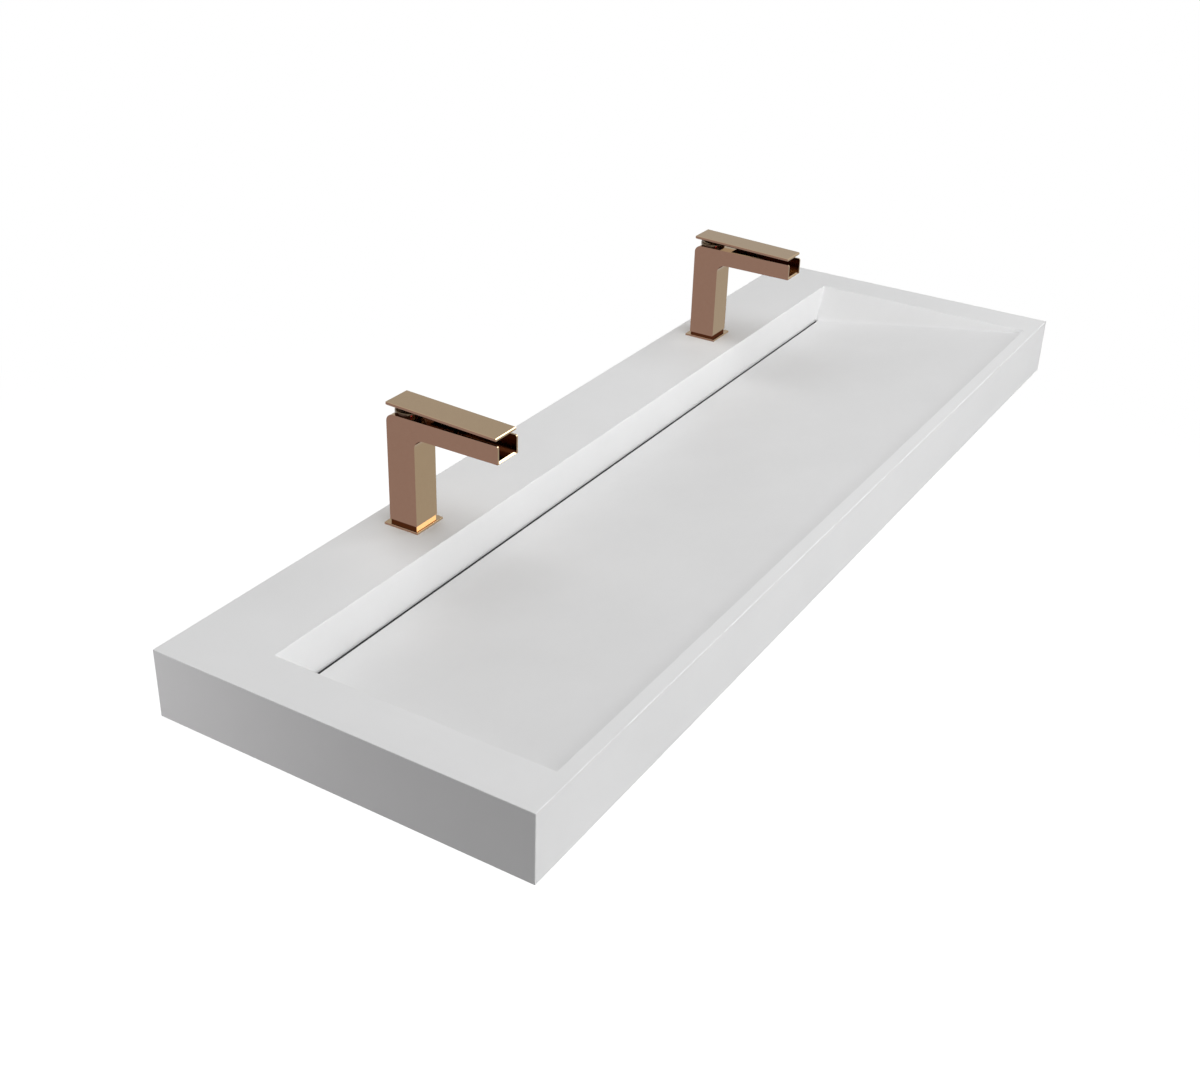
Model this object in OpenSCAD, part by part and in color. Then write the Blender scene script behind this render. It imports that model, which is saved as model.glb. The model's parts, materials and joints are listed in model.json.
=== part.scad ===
// Wall-hung trough basin with a ramped bowl, a slot drain and two single-lever mixers.
// X runs along the wall, Y points into the wall, Z is up.
// The origin is the middle of the line of wall bolts, on the wall's surface.

/* [Basin] */
// Length of the basin along the wall
basin_l = 1500; // [1300:10:1800]
// Depth of the basin from the wall to its front face
basin_d = 480; // [440:5:560]
// Height of the basin's outer faces
basin_h = 85; // [84:1:120]
// Thickness of the deck, skirts, walls and ramp
wall_t = 12; // [10:0.5:13]
// Rounding of the basin's upright corners
corner_r = 3; // [1:0.5:8]
// Height of the deck above the line of wall bolts
bolt_drop = 45; // [42:1:50]

/* [Bowl] */
// Width of the deck at each end of the bowl
end_rim_w = 62.5; // [50:0.5:90]
// Width of the tap deck behind the bowl
tap_deck_w = 112; // [108:1:130]
// Width of the rim in front of the bowl
front_rim_w = 18; // [14:0.5:30]
// Depth of the bowl at the slot
bowl_depth = 50; // [42:1:50]
// Depth of the step along the bowl's front edge
front_step = 4; // [2:0.5:8]
// How far the back wall leans forward down to the slot
back_lean = 5; // [2:0.5:10]
// How far each end wall leans inwards down to the floor
end_lean = 35; // [20:1:50]
// Width of the drain slot
slot_w = 5; // [4.5:0.5:8]

/* [Drain channel] */
// Width of the channel inside
channel_w = 50; // [48:1:54]
// Thickness of the channel's walls and floor
channel_t = 5; // [4:0.5:5]
// Depth of the channel inside at its two ends
channel_end_depth = 9; // [6:0.5:12]
// Depth of the channel inside at the outlet
channel_mid_depth = 15; // [13:0.5:16]
// Length of the flat sump round the outlet
sump_l = 60; // [52:1:90]
// How far the channel runs past each end of the slot
channel_margin = 3; // [1:0.5:5]

/* [Ribs and rail] */
// Thickness of a support rib
rib_t = 12; // [8:0.5:16]
// Clearance between a rib's foot and the basin's lower edge
rib_lift = 2; // [1:0.5:8]
// Length of the wall rail
rail_l = 1300; // [1240:10:1450]
// Height of the wall rail
rail_h = 40; // [30:1:50]
// Thickness of the wall rail
rail_t = 4; // [3:0.5:6]
// Distance between the two inner wall bolts
inner_bolt_spacing = 400; // [340:10:560]
// Distance from each outer wall bolt to the rail's end
rail_end = 50; // [46:1:100]
// Radius of a wall bolt's hole
bolt_hole_r = 6; // [5:0.5:7]
// Radius of a rail screw's shank
rail_screw_r = 2; // [1.5:0.25:3]
// Depth of a rail screw in the back skirt
rail_screw_depth = 8; // [5:0.5:9]

/* [Waste] */
// Radius of the plain tail
tail_r = 16; // [15:0.5:17]
// Length of the plain tail
tail_l = 62; // [40:1:120]
// Radius of the threaded part of the waste
waste_thread_r = 19; // [18.5:0.25:19.5]
// Radius of the waste's flange
waste_flange_r = 23; // [22:0.25:23.5]
// Thickness of the waste's flange
waste_flange_t = 2.5; // [2:0.25:3]
// Wall of the waste's bore
waste_wall = 2; // [1.5:0.25:3]
// Thickness of the seal under the flange
waste_seal_t = 1.5; // [1:0.25:2]
// Thickness of the washer under the channel
waste_washer_t = 3; // [2:0.5:4]
// Height of the waste's nut
waste_nut_h = 10; // [8:0.5:14]

/* [Taps] */
// Distance between the axes of the two taps
tap_spacing = 750; // [600:10:900]
// Distance from the wall to each tap's axis
tap_back = 52.5; // [50:0.5:56]
// Width and depth of a tap's column
column_w = 40; // [38:0.5:46]
// Height of the column's top above the deck
column_h = 146; // [130:1:180]
// Reach of the spout from the tap's axis
spout_reach = 138; // [110:1:160]
// Height of the spout
spout_h = 23; // [21:0.5:27]
// Wall of the spout's channel
spout_t = 2.5; // [1.5:0.25:3]
// Distance from the tap's axis to the back of the spout's channel
channel_start = 40; // [34:0.5:50]
// Rounding under the spout, where it meets the column
inner_fillet_r = 13; // [4:0.5:14]
// Rounding of the column's top edge at the back
back_top_r = 10; // [3:0.5:12]
// Rounding of the spout's upper front corners
spout_nose_r = 3; // [1:0.5:5]
// Side of the square base plate
base_w = 50; // [49:0.5:60]
// Thickness of the base plate
base_t = 3; // [2.5:0.25:4]
// Height of the recessed plinth under the column
plinth_h = 4; // [2:0.5:6]
// Inset of the plinth on each side
plinth_inset = 1; // [0.5:0.25:1.5]
// Radius of the tap's hole in the deck
deck_hole_r = 17.5; // [16:0.5:18]

/* [Lever] */
// Width of the lever
lever_w = 40; // [34:0.5:46]
// Thickness of the lever
lever_t = 4.5; // [3.5:0.25:5]
// Reach of the lever in front of the tap's axis
lever_front = 135.5; // [100:0.5:150]
// Reach of the lever behind the tap's axis
lever_back = 20; // [19:0.5:21]
// Height of the lever's underside above the column, at the tap's axis
lever_gap = 9.25; // [9.25:0.25:11]
// Downward slope of the closed lever, in degrees
lever_slope = 2; // [1:0.25:2]
// Chamfer round the lever's edges
lever_chamfer = 0.6; // [0.3:0.1:0.9]
// Bevel of the lever's front edge
lever_bevel = 1; // [0.5:0.1:1.2]
// Angle that the lever lifts through, in degrees
lift_angle = 20; // [12:1:20]
// Radius of the lever's neck
neck_r = 6.5; // [6:0.25:6.5]
// Radius of the dome collar
dome_r = 18; // [16:0.25:18]
// Height of the dome collar
dome_h = 4.75; // [4:0.25:4.75]
// Rounding of the dome collar's top edge
dome_edge_r = 1.7; // [1:0.1:2.5]

/* [Cartridge] */
// Radius of the cartridge's bore in the column
bore_r = 13; // [12.5:0.25:14]
// Depth of the cartridge's bore
bore_depth = 40; // [38:1:46]
// Radius of the cartridge's housing
housing_r = 11.5; // [11.25:0.25:12]
// Height of the cartridge's housing
housing_h = 28; // [27:0.5:30]
// Thickness of the seal under the housing
cartridge_seal_t = 2; // [1.5:0.25:3]
// Height of the lock ring
lock_ring_h = 5; // [4:0.5:5.5]
// Radius of the turret that turns with the lever
turret_r = 9.6; // [9.2:0.1:9.8]
// Height of the turret
turret_h = 13; // [12:0.5:13.5]
// Depth of the pivot below the column's top
pivot_drop = 9; // [8.5:0.25:9.5]
// Distance from the pivot down to the spindle's ball
ball_drop = 12; // [11.5:0.25:12.5]
// Radius of the spindle's ball
ball_r = 2.3; // [2:0.1:2.4]
// Width of the square spindle
spindle_w = 6; // [5:0.25:6.5]
// Radius of the pivot pin
pin_r = 1.5; // [1.25:0.05:1.75]
// Thickness of each ceramic disc
disc_t = 3.5; // [3:0.25:3.5]
// Radius of the moving disc
moving_disc_r = 6.8; // [6:0.1:6.9]

/* [Tap fixings] */
// Radius of the fixing stud
stud_r = 4; // [3:0.5:4.5]
// Length of the fixing stud below the deck's underside
stud_drop = 22; // [16:1:30]
// Radius of each water inlet
inlet_r = 5; // [4.5:0.25:5.5]
// Depth of each water inlet and of the stud's hole
inlet_depth = 15; // [10:0.5:20]
// Radius of the horseshoe washer
horseshoe_r = 22; // [20:0.5:24]
// Thickness of the horseshoe washer
horseshoe_t = 3; // [2:0.5:4]
// Thickness of the rubber washer
rubber_t = 2.5; // [1.5:0.25:4]
// Height of the fixing nut
fixing_nut_h = 6.5; // [5:0.5:8]

/* [Hidden] */
$fn = 96;

// Which side of the basin each tap stands on
LEFT = -1;
RIGHT = 1;

// Overrun of every cut past the face that it opens
cut = 1;
// Gap between a thread and its hole
thread_gap = 0.05;
// Gap of a part that turns or slides in another
running_gap = 0.2;
// Gap between a pin and its bore
pin_gap = 0.05;

// Basin, in heights measured from the deck's top
bowl_half_l = basin_l / 2 - end_rim_w;
bowl_front = basin_d - front_rim_w;
slot_half_l = bowl_half_l - end_lean;
slot_back = tap_deck_w + back_lean;
slot_front = slot_back + slot_w;
floor_under = bowl_depth + wall_t;
bowl_shell_back = tap_deck_w - wall_t;
underside_front = basin_d - wall_t;
end_top = bowl_half_l + wall_t;
end_foot = slot_half_l + wall_t;
end_sheet_x = end_top - (end_top - end_foot) * wall_t / floor_under;

// Drain channel, hung under the flat land behind and in front of the slot
channel_back = bowl_shell_back + channel_margin;
channel_front = channel_back + channel_w + 2 * channel_t;
channel_mid = (channel_back + channel_front) / 2;
channel_half_l = slot_half_l + channel_margin;
channel_under = floor_under + channel_mid_depth + channel_t;
land_front = channel_front + channel_margin;
ramp_under = front_step + wall_t;
under_slope = (floor_under - ramp_under) / (bowl_front - land_front);

// Wall bolts
outer_bolt_spacing = rail_l - 2 * rail_end;

// Ribs, as shares of the basin's length either side of its middle
rib_place_shares = [-0.3667, -0.1667, 0.1667, 0.3667];
rib_back = land_front + channel_margin;

// Rail screws, as shares of the rail's length either side of its middle
rail_screw_shares = [-0.48, -0.3, -0.1, 0.1, 0.3, 0.48];
rail_screw_head_r = 2 * rail_screw_r;
rail_screw_head_h = rail_screw_r;

// Waste
waste_seat = floor_under + channel_mid_depth;
waste_thread_l = waste_seal_t + channel_t + waste_washer_t + waste_nut_h + waste_washer_t;
waste_nut_wall = 10;
waste_nut_r = waste_thread_r + waste_nut_wall;

// Tap, in heights measured from the deck's top
plinth_top = base_t + plinth_h;
spout_lip = 0.8 * spout_t;
base_ledge = 1.5;
base_hole_r = deck_hole_r - base_ledge;
gasket_w = 2.5;
gasket_t = 1.2;
gasket_edge = 2;
gasket_r = base_w / 2 - gasket_edge;

// Lever and dome collar: the neck swings back from the pivot as the lever lifts
swing_gap = 1;
lever_under = column_h + lever_gap;
neck_foot = column_h - swing_gap;
spindle_top = lever_under - thread_gap;
dome_hole_r = (neck_r + pivot_drop * sin(lift_angle)) / cos(lift_angle) + swing_gap;
dome_mouth_r = dome_hole_r + dome_h * tan(lift_angle);
grub_screw_r = 2;
grub_screw_h = (column_h + dome_h + lever_under) / 2;

// Cartridge, from the bore's floor up
bore_floor = column_h - bore_depth;
seal_top = bore_floor + cartridge_seal_t;
housing_top = seal_top + housing_h;
ring_top = housing_top + lock_ring_h;
cavity_r = turret_r + running_gap;
housing_floor_t = 4;
disc_floor = seal_top + housing_floor_t;
film_gap = 0.1;
moving_disc_floor = disc_floor + disc_t + film_gap;
carrier_floor = moving_disc_floor + disc_t;
pivot_h = column_h - pivot_drop;
ball_h = pivot_h - ball_drop;
turret_floor = ring_top - turret_h;
carrier_top = turret_floor - swing_gap;
disc_travel = ball_drop * sin(lift_angle);
disc_offset = disc_travel / 3;
stem_r = 1.4;
spindle_foot = turret_floor + swing_gap / 2;
turret_slot_l = 2 * (ball_drop * sin(lift_angle) + spindle_w / 2);

// Water ways: two from the inlets into the cartridge, one from its bore to the spout
outlet_r = 4.5;
outlet_h = housing_top - outlet_r;
way_r = 2;
way_x = 5.5;
way_y = -4;
side_way_r = 1;
return_y = 6;
return_r = 1.5;

// Places under the tap: the two inlets in front, the stud behind them
inlet_x = 7.5;
inlet_y = -5;
stud_y = 9;
hose_room = 1.5;
fixing_nut_r = 1.85 * stud_r;

// Places a piece drawn from the deck's top down
module on_deck() translate([0, 0, bolt_drop]) children();

// Places a piece drawn round a tap's axis, from the deck's top up
module at_tap(side) translate([side * tap_spacing / 2, -tap_back, bolt_drop]) children();

// Extrudes an outline drawn in Y and Z along X, about the middle
module along_x(l) rotate([90, 0, 90]) linear_extrude(l, center = true) children();

// Extrudes an outline drawn in X and Z along Y, about the middle
module along_y(l) rotate([90, 0, 0]) linear_extrude(l, center = true) children();

// A cylinder lying along X, about the middle
module rod_x(r, l) rotate([0, 90, 0]) cylinder(h = l, r = r, center = true);

// A flat ring that stands on its own base
module ring(outer_r, inner_r, h) {
    difference() {
        cylinder(h = h, r = outer_r);
        translate([0, 0, -cut]) cylinder(h = h + 2 * cut, r = inner_r);
    }
}

// Basin

// Outer block of the basin, with its upright corners rounded
module basin_block() {
    translate([0, -basin_d / 2, -basin_h])
        linear_extrude(basin_h)
            union() {
                square([basin_l - 2 * corner_r, basin_d], center = true);
                square([basin_l, basin_d - 2 * corner_r], center = true);
                for (x = [-1, 1], y = [-1, 1])
                    translate([x * (basin_l / 2 - corner_r), y * (basin_d / 2 - corner_r)])
                        circle(corner_r);
            }
}

// Holes for the four wall bolts, through anything at the wall
module bolt_holes() {
    for (x = [-outer_bolt_spacing, -inner_bolt_spacing, inner_bolt_spacing, outer_bolt_spacing])
        translate([x / 2, 0, 0])
            rotate([90, 0, 0])
                cylinder(h = 2 * (wall_t + rail_t + cut), r = bolt_hole_r, center = true);
}

// Deck behind the bowl, with the holes of the two taps
module tap_deck() {
    color("whitesmoke") difference() {
        on_deck() intersection() {
            basin_block();
            translate([-basin_l / 2, -bowl_shell_back, -wall_t])
                cube([basin_l, bowl_shell_back, wall_t]);
        }
        for (side = [LEFT, RIGHT])
            at_tap(side) translate([0, 0, -wall_t - cut])
                cylinder(h = wall_t + 2 * cut, r = deck_hole_r);
    }
}

// Rim at one end of the bowl, its inner edge cut to the leaning end wall
module end_rim(side) {
    color("whitesmoke") on_deck()
        translate([0, -(bowl_shell_back + bowl_front) / 2, 0])
            along_y(bowl_front - bowl_shell_back) polygon([
                [side * basin_l / 2, 0],
                [side * basin_l / 2, -wall_t],
                [side * end_sheet_x, -wall_t],
                [side * end_top, 0],
            ]);
}

// Skirt that lies on the wall, with the holes of the bolts and of the rail's screws
module back_skirt() {
    color("whitesmoke") difference() {
        on_deck() intersection() {
            basin_block();
            translate([-basin_l / 2, -wall_t, -basin_h]) cube([basin_l, wall_t, basin_h - wall_t]);
        }
        bolt_holes();
        rail_screw_places() cylinder(h = rail_screw_depth + cut, r = rail_screw_r + thread_gap);
    }
}

// Front skirt, with the front rim along its top
module front_skirt() {
    color("whitesmoke") on_deck() intersection() {
        basin_block();
        along_x(basin_l) polygon([
            [-basin_d, 0],
            [-basin_d, -basin_h],
            [-underside_front, -basin_h],
            [-underside_front, -wall_t],
            [-bowl_front, -wall_t],
            [-bowl_front, 0],
        ]);
    }
}

// Skirt under the rim at one end
module end_skirt(side) {
    color("whitesmoke") on_deck()
        translate([side * (basin_l - wall_t) / 2, -basin_d / 2, -(basin_h + wall_t) / 2])
            cube([wall_t, underside_front - wall_t, basin_h - wall_t], center = true);
}

// Space between the two leaning end walls
module between_ends() {
    translate([0, -basin_d / 2, 0]) along_y(basin_d) polygon([
        [-bowl_half_l, 0],
        [-slot_half_l, -bowl_depth],
        [-slot_half_l, -floor_under],
        [slot_half_l, -floor_under],
        [slot_half_l, -bowl_depth],
        [bowl_half_l, 0],
    ]);
}

// Back wall of the bowl, which leans forward down to the slot
module bowl_back() {
    color("whitesmoke") on_deck() intersection() {
        between_ends();
        along_x(basin_l) polygon([
            [-bowl_shell_back, 0],
            [-tap_deck_w, 0],
            [-slot_back, -bowl_depth],
            [-slot_back, -floor_under],
            [-bowl_shell_back, -floor_under],
        ]);
    }
}

// Ramp that falls from the front rim to the slot, flat underneath where the channel is bonded
module bowl_ramp() {
    color("whitesmoke") on_deck() intersection() {
        between_ends();
        along_x(basin_l) polygon([
            [-slot_front, -bowl_depth],
            [-bowl_front, -front_step],
            [-bowl_front, -ramp_under],
            [-land_front, -floor_under],
            [-slot_front, -floor_under],
        ]);
    }
}

// End wall of the bowl, which leans inwards down to the floor
module bowl_end(side) {
    color("whitesmoke") on_deck() intersection() {
        translate([0, -basin_d / 2, 0]) along_y(basin_d) polygon([
            [side * bowl_half_l, 0],
            [side * slot_half_l, -bowl_depth],
            [side * slot_half_l, -floor_under],
            [side * end_foot, -floor_under],
            [side * end_top, 0],
        ]);
        along_x(basin_l) polygon([
            [-bowl_shell_back, 0],
            [-bowl_shell_back, -floor_under],
            [-land_front, -floor_under],
            [-bowl_front, -ramp_under],
            [-bowl_front, 0],
        ]);
    }
}

// Places a screw's shank, from the back skirt's inner face into the skirt
module rail_screw_places() {
    for (share = rail_screw_shares)
        translate([share * rail_l, -wall_t - cut, 0])
            rotate([-90, 0, 0]) children();
}

// Ribs bonded under the ramp, from the land to the front skirt
module support_ribs() {
    rib_back_z = floor_under - under_slope * (rib_back - land_front);
    rib_front_z = floor_under - under_slope * (underside_front - land_front);
    rib_foot = basin_h - rib_lift;
    color("gainsboro") on_deck()
        for (share = rib_place_shares)
            translate([share * basin_l, 0, 0]) along_x(rib_t) polygon([
                [-rib_back, -rib_back_z],
                [-rib_back, -rib_foot],
                [-underside_front, -rib_foot],
                [-underside_front, -rib_front_z],
            ]);
}

// Channel bonded under the slot: its floor falls from both ends to a flat sump
module drain_channel() {
    w = channel_w + 2 * channel_t;
    l = 2 * (channel_half_l + channel_t);
    color("whitesmoke") on_deck() difference() {
        translate([-l / 2, -channel_front, -channel_under])
            cube([l, w, channel_under - floor_under]);
        translate([0, -channel_mid, 0]) along_y(channel_w) polygon([
            [-channel_half_l, -floor_under + cut],
            [-channel_half_l, -floor_under - channel_end_depth],
            [-sump_l / 2, -waste_seat],
            [sump_l / 2, -waste_seat],
            [channel_half_l, -floor_under - channel_end_depth],
            [channel_half_l, -floor_under + cut],
        ]);
        translate([0, -channel_mid, -channel_under - cut])
            cylinder(h = channel_t + 2 * cut, r = waste_thread_r + running_gap);
    }
}

// Steel rail inside the back skirt, which spreads the load of the wall bolts
module wall_rail() {
    color("silver") difference() {
        translate([-rail_l / 2, -wall_t - rail_t, -rail_h / 2]) cube([rail_l, rail_t, rail_h]);
        bolt_holes();
        for (share = rail_screw_shares)
            translate([share * rail_l, -wall_t - rail_t / 2, 0])
                rotate([90, 0, 0])
                    cylinder(h = rail_t + 2 * cut, r = rail_screw_r + thread_gap, center = true);
    }
}

// Pan-head screws that hold the rail to the back skirt
module rail_screws() {
    shank_l = rail_t + rail_screw_depth - cut;
    color("gray") for (share = rail_screw_shares)
        translate([share * rail_l, -wall_t - rail_t, 0]) rotate([-90, 0, 0]) {
            cylinder(h = shank_l, r = rail_screw_r);
            translate([0, 0, -rail_screw_head_h])
                cylinder(h = rail_screw_head_h, r = rail_screw_head_r);
        }
}

// Waste

// Places a piece on the outlet's axis, from the channel's sump
module at_waste() translate([0, -channel_mid, bolt_drop - waste_seat]) children();

// Flanged waste with its threaded part and plain tail
module waste_body() {
    thread_l = waste_thread_l;
    color("goldenrod") at_waste() difference() {
        union() {
            translate([0, 0, waste_seal_t]) cylinder(h = waste_flange_t, r = waste_flange_r);
            translate([0, 0, waste_seal_t - thread_l]) cylinder(h = thread_l, r = waste_thread_r);
            translate([0, 0, waste_seal_t - thread_l - tail_l]) cylinder(h = tail_l, r = tail_r);
        }
        translate([0, 0, waste_seal_t - thread_l - tail_l - cut])
            cylinder(h = thread_l + tail_l + waste_flange_t + 2 * cut, r = tail_r - waste_wall);
    }
}

module waste_seal() {
    color("dimgray") at_waste() ring(waste_flange_r, waste_thread_r + running_gap, waste_seal_t);
}

module waste_washer() {
    color("dimgray") at_waste()
        translate([0, 0, -channel_t - waste_washer_t])
            ring(waste_nut_r - 2 * waste_wall, waste_thread_r + running_gap, waste_washer_t);
}

module waste_nut() {
    color("goldenrod") at_waste()
        translate([0, 0, -channel_t - waste_washer_t - waste_nut_h]) difference() {
            cylinder(h = waste_nut_h, r = waste_nut_r, $fn = 6);
            translate([0, 0, -cut])
                cylinder(h = waste_nut_h + 2 * cut, r = waste_thread_r + thread_gap);
        }
}

// Tap

// Side view of the column and spout, in Y and Z round the tap's axis
module tap_outline() {
    half = column_w / 2;
    spout_foot = column_h - spout_h;
    difference() {
        union() {
            translate([-half, plinth_top]) square([column_w, column_h - plinth_top]);
            translate([-spout_reach, spout_foot]) square([spout_reach, spout_h]);
            translate([-half - inner_fillet_r, spout_foot - inner_fillet_r])
                difference() {
                    square(inner_fillet_r + cut);
                    circle(inner_fillet_r);
                }
        }
        translate([half - back_top_r, column_h - back_top_r]) corner_waste(back_top_r);
        translate([-spout_reach + spout_nose_r, column_h - spout_nose_r])
            mirror([1, 0]) corner_waste(spout_nose_r);
    }
}

// What a round corner leaves of its square, to be cut away
module corner_waste(r) {
    difference() {
        square(r + cut);
        circle(r);
    }
}

// Body of the tap: plinth, column and open-topped spout, with its bore and water ways
module tap_body() {
    plinth_w = column_w - 2 * plinth_inset;
    inside_w = column_w - 2 * spout_t;
    channel_floor = column_h - spout_h + spout_t;
    color("rosybrown") difference() {
        union() {
            along_x(column_w) tap_outline();
            translate([-plinth_w / 2, -plinth_w / 2, base_t])
                cube([plinth_w, plinth_w, plinth_h + cut]);
        }
        // Open channel of the spout
        translate([-inside_w / 2, -spout_reach - cut, channel_floor])
            cube([inside_w, spout_reach - channel_start + cut, spout_h]);
        // Sloping lip at the front of the channel's floor
        along_x(inside_w) polygon([
            [-spout_reach - cut, channel_floor - spout_lip - cut],
            [-spout_reach + spout_lip + cut, channel_floor + cut],
            [-spout_reach - cut, channel_floor + cut],
        ]);
        // Water way from the bore to the channel
        translate([0, 0, outlet_h]) rotate([90, 0, 0])
            cylinder(h = channel_start + cut, r = outlet_r);
        // Bore of the cartridge
        translate([0, 0, bore_floor]) cylinder(h = bore_depth + cut, r = bore_r);
        // Inlets and the water ways above them
        for (x = [-inlet_x, inlet_x])
            translate([x, inlet_y, base_t - cut]) cylinder(h = inlet_depth + cut, r = inlet_r);
        water_ways(base_t + inlet_depth - cut, bore_floor + cut);
        // Threaded hole of the fixing stud
        translate([0, stud_y, base_t - cut])
            cylinder(h = inlet_depth + cut, r = stud_r + thread_gap);
    }
}

// The two water ways from the inlets up to the discs, between two heights
module water_ways(low, high) {
    for (x = [-way_x, way_x])
        translate([x, way_y, low]) cylinder(h = high - low, r = way_r);
}

// The way back down from the discs, between two heights
module return_way(low, high) {
    translate([0, return_y, low]) cylinder(h = high - low, r = return_r);
}

module base_plate() {
    color("darkgoldenrod") difference() {
        translate([-base_w / 2, -base_w / 2, 0]) cube([base_w, base_w, base_t]);
        translate([0, 0, -cut]) cylinder(h = base_t + 2 * cut, r = base_hole_r);
        translate([0, 0, -cut]) ring(gasket_r, gasket_r - gasket_w, gasket_t + cut);
    }
}

module base_gasket() {
    color("dimgray") ring(gasket_r, gasket_r - gasket_w, gasket_t);
}

// Round collar that screws into the bore above the lock ring
module dome_collar() {
    r = dome_edge_r;
    skirt_r = bore_r - thread_gap;
    dome_top = column_h + dome_h;
    color("saddlebrown") rotate_extrude() difference() {
        union() {
            translate([0, ring_top]) square([skirt_r, column_h - ring_top + cut]);
            translate([0, column_h]) square([dome_r - r, dome_h]);
            translate([0, column_h]) square([dome_r, dome_h - r]);
            translate([dome_r - r, dome_top - r]) circle(r);
        }
        polygon([
            [0, 0],
            [dome_hole_r, 0],
            [dome_hole_r, column_h],
            [dome_mouth_r, dome_top],
            [dome_mouth_r, dome_top + cut],
            [0, dome_top + cut],
        ]);
    }
}

// Cartridge

module cartridge_seal() {
    color("dimgray") difference() {
        translate([0, 0, bore_floor]) cylinder(h = cartridge_seal_t, r = housing_r);
        water_ways(bore_floor - cut, seal_top + cut);
    }
}

// Cup that holds the discs, with two ways in and one way out through its side
module cartridge_housing() {
    side_way_h = (seal_top + disc_floor) / 2;
    color("ivory") difference() {
        translate([0, 0, seal_top]) cylinder(h = housing_h, r = housing_r);
        translate([0, 0, disc_floor]) cylinder(h = housing_h, r = cavity_r);
        water_ways(seal_top - cut, disc_floor + cut);
        return_way(side_way_h, disc_floor + cut);
        translate([0, return_y, side_way_h]) rotate([-90, 0, 0])
            cylinder(h = housing_r, r = side_way_r);
    }
}

module fixed_disc() {
    color("white") difference() {
        translate([0, 0, disc_floor]) cylinder(h = disc_t, r = cavity_r - thread_gap);
        water_ways(disc_floor - cut, disc_floor + disc_t + cut);
        return_way(disc_floor - cut, disc_floor + disc_t + cut);
    }
}

// Disc that turns with the turret and slides with the spindle, with a mixing hollow below
module moving_disc() {
    color("white") translate([0, disc_offset, moving_disc_floor]) difference() {
        cylinder(h = disc_t, r = moving_disc_r);
        translate([0, 0, -cut]) cylinder(h = disc_t / 2 + cut, r = moving_disc_r / 2);
    }
}

// Carrier on the moving disc, with the pocket of the spindle's ball
module disc_carrier() {
    pocket_w = 2 * (ball_r + running_gap);
    pocket_floor = ball_h - ball_r - running_gap;
    color("ivory") difference() {
        translate([0, disc_offset, carrier_floor])
            cylinder(h = carrier_top - carrier_floor, r = moving_disc_r);
        translate([-pocket_w / 2, -pocket_w / 2, pocket_floor])
            cube([pocket_w, pocket_w, carrier_top - pocket_floor + cut]);
    }
}

// Turret that turns in the housing and carries the pivot pin
module turret() {
    slot_x = spindle_w + 2 * running_gap;
    color("ivory") difference() {
        translate([0, 0, turret_floor]) cylinder(h = turret_h, r = turret_r);
        translate([-slot_x / 2, -turret_slot_l / 2, turret_floor - cut])
            cube([slot_x, turret_slot_l, turret_h + 2 * cut]);
        translate([0, 0, pivot_h]) rod_x(pin_r + pin_gap / 2, 2 * turret_r + 2 * cut);
    }
}

module pivot_pin() {
    color("silver") translate([0, 0, pivot_h]) rod_x(pin_r, 2 * (turret_r - running_gap));
}

module lock_ring() {
    color("goldenrod")
        translate([0, 0, housing_top]) ring(bore_r - thread_gap, cavity_r, lock_ring_h);
}

// Lever

// Square spindle with its pivot bore, and the ball that drives the discs
module spindle() {
    color("silver") difference() {
        union() {
            translate([-spindle_w / 2, -spindle_w / 2, spindle_foot])
                cube([spindle_w, spindle_w, spindle_top - spindle_foot]);
            translate([0, 0, ball_h]) cylinder(h = spindle_foot - ball_h + cut, r = stem_r);
            translate([0, 0, ball_h]) sphere(ball_r);
        }
        translate([0, 0, pivot_h]) rod_x(pin_r + pin_gap, spindle_w + 2 * cut);
    }
}

// Cross-section of the lever's plate in X and Z, with its lower edges chamfered
module lever_section() {
    half = lever_w / 2;
    c = lever_chamfer;
    polygon([
        [-half + 2 * c, 0],
        [half - 2 * c, 0],
        [half, 2 * c],
        [half, lever_t - c / 2],
        [half - c / 2, lever_t],
        [-half + c / 2, lever_t],
        [-half, lever_t - c / 2],
        [-half, 2 * c],
    ]);
}

// Side view of the lever's plate in Y and Z, with its lower edges chamfered and its front bevelled
module lever_profile() {
    c = lever_chamfer;
    polygon([
        [-lever_front + 2 * c, 0],
        [lever_back - 2 * c, 0],
        [lever_back, 2 * c],
        [lever_back, lever_t],
        [-lever_front + lever_bevel, lever_t],
        [-lever_front, lever_t - lever_bevel],
        [-lever_front, 2 * c],
    ]);
}

// Flat lever on a round neck, socketed for the spindle
module lever() {
    socket_w = spindle_w + 2 * thread_gap;
    lever_l = lever_front + lever_back;
    color("tan") difference() {
        union() {
            translate([0, 0, lever_under]) rotate([lever_slope, 0, 0]) intersection() {
                translate([0, (lever_back - lever_front) / 2, 0]) along_y(lever_l) lever_section();
                along_x(lever_w) lever_profile();
            }
            translate([0, 0, neck_foot]) cylinder(h = lever_under - neck_foot + cut, r = neck_r);
        }
        translate([-socket_w / 2, -socket_w / 2, neck_foot - cut])
            cube([socket_w, socket_w, lever_under - neck_foot + cut]);
        translate([0, 0, grub_screw_h]) rotate([90, 0, 0])
            cylinder(h = neck_r + cut, r = grub_screw_r + thread_gap);
    }
}

// Screw that holds the lever on the spindle, from the front of the neck
module grub_screw() {
    color("dimgray") translate([0, -spindle_w / 2, grub_screw_h]) rotate([90, 0, 0])
        cylinder(h = neck_r - spindle_w / 2, r = grub_screw_r);
}

// Tap fixings, under the deck

module fixing_stud() {
    foot = -wall_t - stud_drop;
    color("silver") translate([0, stud_y, foot])
        cylinder(h = base_t + inlet_depth - cut - foot, r = stud_r);
}

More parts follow.
